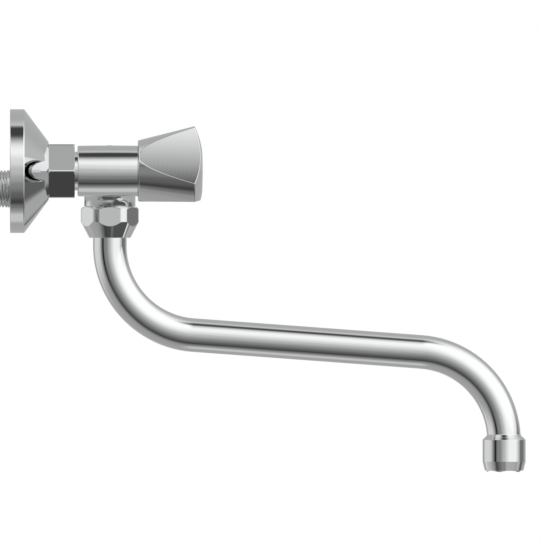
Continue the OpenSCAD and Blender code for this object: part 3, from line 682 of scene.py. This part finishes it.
def cap_outline(theta):
    """A button inside the ring, whose face follows the dome and rises a little to its middle."""
    outer, low = recess_r - ring_width - cap_gap, face_end - cap_depth
    return [(0, low, 0), (outer, low, 0.1), (outer, dome(outer) + cap_proud / 2, 0.3),
            (outer * 0.7, dome(outer * 0.7) + 0.9 * cap_proud, 30, 3),
            (outer * 0.35, dome(outer * 0.35) + cap_proud, 30, 3), (0, dome(0.0) + cap_proud, 0)]


for side, colour in (("hot", "red_plastic"), ("cold", "blue_plastic")):
    make_piece("index_ring_" + side, [turned(ring_outline, on_valve(side))],
               "handle_" + side, colour, "index_disc_" + side)
    make_piece("index_button_" + side, [turned(cap_outline, on_valve(side), closed=False)],
               "handle_" + side, "chrome", "index_cap_" + side)

# %% [markdown]
# ## Spout nut
# The nut under the body is turned after milling: its corners are cut to a circle, and under the
# hexagon it narrows in a cone to the tube. The cone meets each flat in a curve, because a corner
# reaches the cone higher up than the middle of a flat does.

# %% Spout nut
spout_nut_bottom, spout_nut_top = side_of("spout_nut", 2, 0), side_of("spout_nut", 2, 1)
corner_r, corner_cut, corner_slope, cone_height, tip_r = 16.25, 1.3, 0.7, 8.9, 11.6
nut_thread_r, nut_tube_r, nut_floor = 13.3, 9.75, 5
hex_bottom = spout_nut_bottom + cone_height


def spout_nut_outline(theta):
    """A hexagon whose corners are cut to a circle. The cone meets it where the cone's radius,
    falling evenly from the corners to the tip, is the hexagon's."""
    outer = soft_min(hexagon(theta, nut_across, 0, 0.3), corner_r + 0 * theta, 0.25)
    top_r = soft_min(outer, corner_r - corner_cut + 0 * theta, 0.2)
    fall = (outer - top_r) * corner_slope + bevel_least
    cone_start = hex_bottom - (corner_r - outer) * cone_height / (corner_r - tip_r)
    floor_h = spout_nut_bottom + nut_floor
    return [(nut_tube_r, spout_nut_bottom, 0.2), (tip_r, spout_nut_bottom, 0.35), (outer, cone_start, 0.5),
            (outer, spout_nut_top - fall, 0.5), (top_r, spout_nut_top, 0.2),
            (nut_thread_r, spout_nut_top, 0.1), (nut_thread_r, floor_h, 0.1), (nut_tube_r, floor_h, 0.1)]


make_piece("spout_nut_plated", [turned(spout_nut_outline, upright(swivel_y), 360)],
           "fixed", "chrome", "spout_nut")

# %% [markdown]
# ## Spout
# The spout is one drawn tube, bent twice in a plane: down, out along a gently falling run, and
# down again. Its lower end is swaged out to carry the aerator's thread. The path is worked out
# by adding up the straight lengths and arcs that lie before each point, and the rings of a plain
# turned outline are carried along it.

# %% Spout path
tube_r, bend_r, slope, neck = 9.45, 50.3, math.radians(4.22), 4.5
spout_reach = swivel_y - outlet_y
bend_turn = math.pi / 2 - slope
run_length = (spout_reach - 2 * bend_r * (1 - math.sin(slope))) / math.cos(slope)
tube_bottom, tube_top = side_of("spout_tube", 2, 0), side_of("spout_tube", 2, 1)
first_bend = spout_nut_bottom - neck
last_bend = first_bend - 2 * bend_r * math.cos(slope) - run_length * math.sin(slope)
lengths = [tube_top - first_bend, bend_r * bend_turn, run_length, bend_r * bend_turn,
           last_bend - tube_bottom]
starts = np.concatenate([[0], np.cumsum(lengths)])


def spout_place(r, theta, s):
    """A point r from the tube's middle line at length s. The line starts downwards, its heading
    grows from 0 to the bend's turn along the first arc and goes back to 0 along the second, and
    each stretch adds its share up to s."""
    part = [np.clip(s - a, 0, n) for a, n in zip(starts, lengths)]
    g1, g2 = part[1] / bend_r, bend_turn - part[3] / bend_r
    y = (-bend_r * (1 - np.cos(g1)) - part[2] * math.sin(bend_turn)
         - bend_r * (np.cos(g2) - math.cos(bend_turn)))
    z = (-part[0] - bend_r * np.sin(g1) - part[2] * math.cos(bend_turn)
         - bend_r * (math.sin(bend_turn) - np.sin(g2)) - part[4])
    heading = g1 - part[3] / bend_r
    side = r * np.sin(theta)
    return np.stack([r * np.cos(theta), swivel_y + y + side * np.cos(heading),
                     tube_top + z - side * np.sin(heading)], -1)


# %% Spout tube
housing_lift, flare_gap = 0.8, 0.03
housing_top = side_of("aerator_housing", 2, 1) + housing_lift
thread_r, tube_bore_r, flare_height, bend_rows, run_rows = 10.7, 8.2, 1.57, 26, 6
flare_top = housing_top + flare_height + flare_gap
print("the flare starts", round(flare_top - last_bend, 2), "mm above the end of the bend")


def level(r, s, theta):
    """Length at which a corner at radius r lies level with s, though the tube still leans there:
    s less r sin(theta) times the tangent of the lean that is left of the bend."""
    return s - r * np.sin(theta) * math.tan((starts[4] - s) / bend_r)


def spout_outline(theta):
    """Up the outside from the thread's end, with rows close together in the bends and far apart
    in the straight run, and back down the bore."""
    total = starts[-1]
    flare_s = total - (flare_top - tube_bottom)
    stops = np.concatenate([np.linspace(starts[4] - 0.01, starts[3], bend_rows),
                            np.linspace(starts[3], starts[2], run_rows)[1:-1],
                            np.linspace(starts[2], starts[1], bend_rows)])
    stops = stops[stops < flare_s - 2]
    return ([(tube_bore_r, total, 0.2), (thread_r, total, 0.2),
             (thread_r, level(thread_r, flare_s + flare_height, theta), 0.15),
             (tube_r, level(tube_r, flare_s, theta), 0.6)]
            + [(tube_r, s, 1, 2) for s in stops] + [(tube_r, 0, 0.2), (tube_bore_r, 0, 0.2)]
            + [(tube_bore_r, s, 1, 2) for s in stops[::-1]])


spout_shell = turned(spout_outline, spout_place, 96)
print("spout from", spout_shell[0].min(0).round(2), "to", spout_shell[0].max(0).round(2))
make_piece("spout_tube_plated", [spout_shell], "spout", "chrome", "spout_tube")

# %% [markdown]
# ## Aerator
# The housing screws on the end of the spout: a bevelled cylinder, a short taper, and a lower rim
# with five shallow scallops for a coin or key. The lower edge's height follows a large circle
# between the teeth, which the outline takes in as a height that changes with the angle.

# %% Aerator housing
housing_bottom = side_of("aerator_housing", 2, 0)
housing_r = radius("aerator_housing")
housing_tip_r, taper_height, top_bevel, bevel_height, thread_gap = 10.85, 5.8, 1.2, 1.32, 0.05
housing_bore_r = thread_r + thread_gap
rim_r, rim_height, rim_inner_r = 9.75, 0.8, 9.0
scallop_count, scallop_depth, scallop_circle, scallop_first = 5, 0.75, 18.5, math.radians(55)
screen_height, screen_step = 1.6, 0.6


def scalloped(theta, r):
    """Height of the lower edge: a circle's sagitta under the scallop's depth, never below zero."""
    off = nearest_flat(theta, scallop_first, scallop_count)
    across = np.minimum(np.abs(r * np.sin(off)), scallop_circle * 0.9)
    sag = scallop_circle - np.sqrt(scallop_circle ** 2 - across ** 2)
    return housing_bottom - soft_min(-(scallop_depth - sag), 0 * theta, 0.15)


def housing_outline(theta):
    """From the scalloped rim up the taper and the cylinder to the bevel, and down the bore."""
    taper_top, taper_end = housing_bottom + taper_height, housing_bottom + rim_height
    screen_top = housing_bottom + screen_height
    return [(rim_inner_r, scalloped(theta, rim_inner_r), 0.1), (rim_r, scalloped(theta, rim_r), 0.15),
            (rim_r, taper_end, 0.05), (housing_tip_r, taper_end, 0.2), (housing_r, taper_top, 0.3),
            (housing_r, housing_top - bevel_height, 0.2), (housing_r - top_bevel, housing_top, 0.1),
            (housing_bore_r, housing_top, 0.1), (housing_bore_r, screen_top, 0.1),
            (rim_inner_r, screen_top - screen_step, 0.1)]


make_piece("aerator_housing_plated", [turned(housing_outline, upright(outlet_y), 360)],
           "spout", "chrome", "aerator_housing")

# %% [markdown]
# ## Studio
# A polished tap shows its surroundings more than itself. In the photograph it hangs in a white
# studio with one large soft light high in front of the valves, a dark gap beside it, and a dark
# band low down between the light floor and the wall. The world is built as that room: a light and
# a dark half, and over them soft-edged layers, each a mask with a grey. Glossy rays see the room,
# the camera sees plain white, and all other rays get an even pale light.


# %% Field helper for the world
def to_linear(level):
    """A display grey from 0 to 255 as light: the usual display curve, undone."""
    v = min(level / 255, 1.0)
    return v / 12.92 if v <= 0.04045 else ((v + 0.055) / 1.055) ** 2.4


class Field:
    """Arithmetic on shader sockets, so that the room reads as formulas."""

    def __init__(self, tree, socket):
        self.tree, self.socket = tree, socket

    def through(self, kind, inputs, **properties):
        """The first output of a new node. Its inputs are fields or numbers."""
        plain = {key: item.socket if isinstance(item, Field) else item for key, item in inputs.items()}
        return Field(self.tree, add(self.tree, kind, plain, **properties).outputs[0])

    def math(self, operation, *others):
        """One operation on this field and others, each a field or a number."""
        inputs = dict(enumerate((self,) + others))
        return self.through("ShaderNodeMath", inputs, operation=operation)

    def __add__(self, other):
        return self.math("ADD", other)

    def __sub__(self, other):
        return self.math("SUBTRACT", other)

    def __mul__(self, other):
        return self.math("MULTIPLY", other)

    def abs(self):
        """This field without its sign."""
        return self.math("ABSOLUTE")

    def step(self, start, end):
        """0 before start and 1 after end, smoothly between. With start above end it falls."""
        return self.through("ShaderNodeMapRange", {
            "Value": self, "From Min": min(start, end), "From Max": max(start, end),
            "To Min": float(start > end), "To Max": float(start < end)}, interpolation_type="SMOOTHSTEP")

    def toward(self, level, mask):
        """This grey mixed towards another level, a number or a field, by a mask."""
        target = level if isinstance(level, Field) else to_linear(level)
        return self.through("ShaderNodeMix", {0: mask, 2: self, 3: target}, data_type="FLOAT")

    def ramp(self, *stops):
        """A grey level for each value, by a colour ramp from 0 to the last stop."""
        reach = stops[-1][0]
        node = add(self.tree, "ShaderNodeValToRGB", {"Fac": (self * (1 / reach)).socket})
        elements = node.color_ramp.elements
        node.color_ramp.interpolation = "EASE"
        for i, (place, level) in enumerate(stops):
            element = elements[i] if i < 2 else elements.new(place / reach)
            element.position = place / reach
            grey = to_linear(level)
            element.color = (grey, grey, grey, 1)
        return Field(self.tree, node.outputs["Color"])


# %% Directions in the room
world = bpy.data.worlds.new("studio_room")
scene.world = world
world.use_nodes = True
tree = world.node_tree
tree.nodes.clear()
direction = add(tree, "ShaderNodeTexCoord")
split = add(tree, "ShaderNodeSeparateXYZ", {"Vector": direction.outputs["Generated"]})
dx, dy, dz = (Field(tree, socket) for socket in split.outputs)
DEGREES = 180 / math.pi
# Height round the valve axis, 0 towards the hot side and 90 overhead, and lean away from the wall
height = dz.math("ARCTAN2", dx * -1) * DEGREES
lean = (dy * -1).math("ARCSINE") * DEGREES
off_level = height.abs()


def spot(height_at, lean_at, height_size, lean_size, inner=0.3):
    """A soft oval mask in the room, full inside the inner share and gone at its edge: the root of
    the squares of both distances, each over its size."""
    p, q = (height - height_at) * (1 / height_size), (lean - lean_at) * (1 / lean_size)
    return (p * p + q * q).math("SQRT").step(1.0, inner)


# %% The light and dark halves of the room
band_height, band_lean = 60.0, 50.0
up, out = height * (1 / band_height), lean * (1 / band_lean)
from_middle, upward = (up * up + out * out).math("SQRT"), up + out
dark_half = from_middle.ramp((0, 182), (0.22, 157), (0.45, 128), (0.78, 92), (1.0, 63),
                             (1.16, 110), (1.32, 142), (1.6, 154), (2.4, 160))
light_half = upward.ramp((0, 182), (0.3, 214), (0.6, 240), (1.0, 254), (4.0, 254))
room = dark_half.toward(light_half, upward.step(-0.25, 0.2))

# %% Ceiling, walls and floor, each a mask with a display grey
# The lamp's far edge moves out as it leans from the wall
past_lamp = (height - lean.math("MAXIMUM", 0.0) * 0.7).step(50, 118)
ceiling = past_lamp * upward.step(0.2, 0.8)
facing = lean.step(70, 84) * off_level.step(130, 80)
level_strip = off_level.step(15, 0) * lean.step(18, 40)
level_facing = off_level.step(25, 5) * lean.step(62, 92)
wall = lean.step(-58, -84)
off_wall = lean.step(2, 14)
ground = height.step(-4, -26) * height.step(-150, -120) * off_wall
ground_band = height.step(-44, -58) * height.step(-125, -100) * off_wall * lean.step(66, 50)
far_end = off_level.step(150, 175) * lean.step(40, 60)
far_wall = off_level.step(110, 160) * lean.step(-40, -58)
# Smaller patches: the gap beside the lamp, shades at the wall, and pale spots low down
lamp_gap, lamp_slit = spot(80, 0, 18, 22, 0.15), spot(80, 0, 43, 9, 0.1) * height.step(98, 86)
wall_shade, wall_line = spot(2, -31, 26, 14, 0.2), spot(-6, -48.5, 30, 5.5, 0.3)
far_shade, low_patch, far_patch = spot(-142, 66, 40, 16, 0.4), spot(-98, 0, 20, 12), spot(-165, -12, 16, 12)
layers = ((166, ceiling), (222, facing), (238, level_strip), (170, level_facing), (205, wall),
          (168, ground), (78, ground_band), (112, far_end), (208, far_wall), (62, lamp_gap),
          (62, lamp_slit), (128, wall_shade), (24, wall_line), (92, far_shade), (192, low_patch),
          (205, far_patch))
for grey, mask in layers:
    room = room.toward(grey, mask)
print("room of", len(layers), "layers in", len(tree.nodes), "nodes")

# %% Who sees the room
# The greys are what a chrome mirror shows, so the room is brighter by the plate's reflectance
reflectance, even_light = 0.72, 0.85
rays = add(tree, "ShaderNodeLightPath")
plain = Field(tree, rays.outputs["Is Camera Ray"]) * (1 - even_light) + even_light
seen = plain.toward(room * (1 / reflectance), Field(tree, rays.outputs["Is Glossy Ray"]))
background = add(tree, "ShaderNodeBackground", {"Color": seen.socket})
add(tree, "ShaderNodeOutputWorld", {"Surface": background.outputs["Background"]})
print("light from all sides", even_light, "of white, and the room for mirrors only")

# %% [markdown]
# ## Floor, lamp and camera
# The floor lies well below the spout, out of the photograph's frame. It is pale and fades to
# plain white at its edge. Its underside is clear for views from below, and mirrors don't see it,
# because the room already holds one. The camera stands fourteen metres away with a very long lens,
# since the photograph has hardly any perspective. It is level with the near valve and looks slightly
# aside, so that this valve hides the far one. The scale is true at the spout.

# %% Floor
floor_z, floor_r, floor_y = -0.30, 0.56, -0.14
fade_start, fade_end = 0.22, 0.55
sectors, circles = 96, 12
turns = np.linspace(0, 2 * math.pi, sectors, endpoint=False)
spokes = floor_r * np.linspace(0, 1, circles + 1)[1:, None]
places = np.stack([spokes * np.cos(turns), spokes * np.sin(turns) + floor_y,
                   np.full((circles, sectors), floor_z)], -1).reshape(-1, 3)
grid = np.arange(circles * sectors).reshape(circles, sectors)
beside = np.roll(grid, -1, 1)
cells = np.stack([grid[:-1], grid[1:], beside[1:], beside[:-1]], -1).reshape(-1, 4)
floor_mesh = bpy.data.meshes.new("floor")
floor_mesh.from_pydata(places.tolist(), [], cells.tolist() + [list(range(sectors))])
floor = put("floor", floor_mesh)
floor.visible_glossy = False
print("floor of", len(floor_mesh.polygons), "faces")

# %% Floor finish
paint = bpy.data.materials.new("pale_floor")
paint.use_nodes = True
tree = paint.node_tree
tree.nodes.remove(tree.nodes["Principled BSDF"])
coords = add(tree, "ShaderNodeTexCoord")
split = add(tree, "ShaderNodeSeparateXYZ", {"Vector": coords.outputs["Object"]})
fx, fy = Field(tree, split.outputs[0]), Field(tree, split.outputs[1]) - floor_y
fade = (fx * fx + fy * fy).math("SQRT").step(fade_start, fade_end)
underside = Field(tree, add(tree, "ShaderNodeNewGeometry").outputs["Backfacing"])
matte = add(tree, "ShaderNodeBsdfDiffuse", {"Color": (0.92, 0.92, 0.92, 1)})
clear = add(tree, "ShaderNodeBsdfTransparent")
blend = add(tree, "ShaderNodeMixShader", {
    "Fac": fade.math("MAXIMUM", underside).socket, 1: matte.outputs["BSDF"], 2: clear.outputs["BSDF"]})
plug(tree, tree.nodes["Material Output"], {"Surface": blend.outputs["Shader"]})
floor_mesh.materials.append(paint)
print("the floor fades out from", fade_start, "to", fade_end, "m")

# %% Soft lamp for the floor's shadow and the matte pieces
lamp_data = bpy.data.lights.new("soft_overhead", "AREA")
lamp_size, lamp_watts = 1.4, 4.0
lamp_data.shape, lamp_data.size, lamp_data.size_y = "RECTANGLE", lamp_size, lamp_size
lamp_data.energy = lamp_watts
lamp = put("soft_overhead", lamp_data)
lamp.location = (-0.3, -0.5, 1.6)
lamp.rotation_euler = (math.radians(-14), math.radians(-10), 0)
lamp.visible_glossy = False
print("lamp of", lamp_watts, "W,", lamp_size, "m wide")

# %% Camera
# The photograph's scale in mm a pixel, and where it shows the wall and the valve axis
pixel, frame_pixels, wall_pixel, axis_pixel = 0.562, 540, 10.25, 171.05
aim_y = -(frame_pixels / 2 - wall_pixel) * pixel
aim_z = axis_z - (frame_pixels / 2 - axis_pixel) * pixel
camera_data = bpy.data.cameras.new("long_lens")
camera_data.lens, camera_data.sensor_width = 1700, 36
distance = frame_pixels * pixel * MM * camera_data.lens / camera_data.sensor_width
camera_data.clip_end = distance * 3
camera = put("long_lens", camera_data)
camera.location = (-distance, -cover_depth * MM, axis_z * MM)
gaze = Vector((distance, (aim_y + cover_depth) * MM, (aim_z - axis_z) * MM))
camera.rotation_euler = gaze.to_track_quat("-Z", "Y").to_euler()
scene.camera = camera
scene.view_settings.view_transform = "Standard"
print("camera", [round(v, 4) for v in camera.location], "covers", round(frame_pixels * pixel, 1), "mm")
